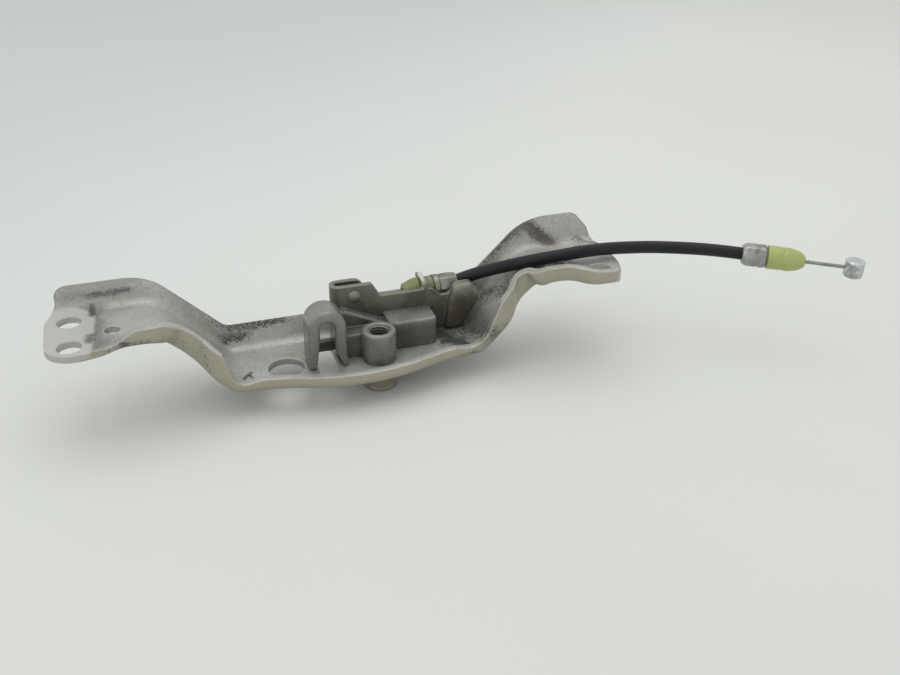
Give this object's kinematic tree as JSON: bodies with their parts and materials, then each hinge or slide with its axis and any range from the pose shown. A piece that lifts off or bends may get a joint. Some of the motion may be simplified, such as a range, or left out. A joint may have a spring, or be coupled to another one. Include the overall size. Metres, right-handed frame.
{
  "type": "motorcycle seat lock",
  "caption": "Pressed steel bracket with a cast striker latch, a folded cable plate and a short black pull cable that draws the latch slide back.",
  "frame": {"origin": "centre of the four fixing holes, on the wings' top face", "axes": "+X along the bracket towards the cable, +Y to the tall rear flange, +Z out of the trough, away from the floor"},
  "size_m": [0.3028, 0.0681, 0.0479],
  "materials": {
    "bracket_steel": "satin",
    "casting": "satin",
    "plate_steel": "matte",
    "slide_steel": "satin",
    "rivet_steel": "satin",
    "spring_steel": "satin",
    "screw_steel": "matte",
    "zinc_end": "matte",
    "wire_steel": "satin",
    "nylon": "matte",
    "crimp_steel": "satin",
    "sheath_plastic": "satin"
  },
  "bodies": {
    "base": {"bracket": "bracket_steel", "latch_body": "casting", "cable_plate": "plate_steel", "guide_rivet": "rivet_steel", "plate_rivet_left": "rivet_steel", "plate_rivet_right": "rivet_steel", "return_spring": "spring_steel", "front_screw": "screw_steel", "rear_screw": "screw_steel", "near_ferrule": "nylon", "near_crimp": "crimp_steel", "cable_sheath": "sheath_plastic", "far_crimp": "crimp_steel", "far_ferrule": "nylon"},
    "latch": {"latch_slide": "slide_steel", "wire_anchor": "zinc_end", "near_wire": "wire_steel"},
    "pull": {"far_wire": "wire_steel", "pull_nipple": "zinc_end"}
  },
  "joints": [
    {"name": "latch_slide_travel", "type": "slide", "parent": "base", "child": "latch", "axis": [1, 0, 0], "range_m": [0, 0.007], "stiffness_N_per_m": 600, "deforming": ["return_spring"]},
    {"name": "cable_pull", "type": "slide", "parent": "base", "child": "pull", "axis": [0.8662, -0.4973, -0.0481], "range_m": [0, 0.007]}
  ],
  "couplings": [
    {"joint": "cable_pull", "follows": "latch_slide_travel", "ratio": 1}
  ]
}
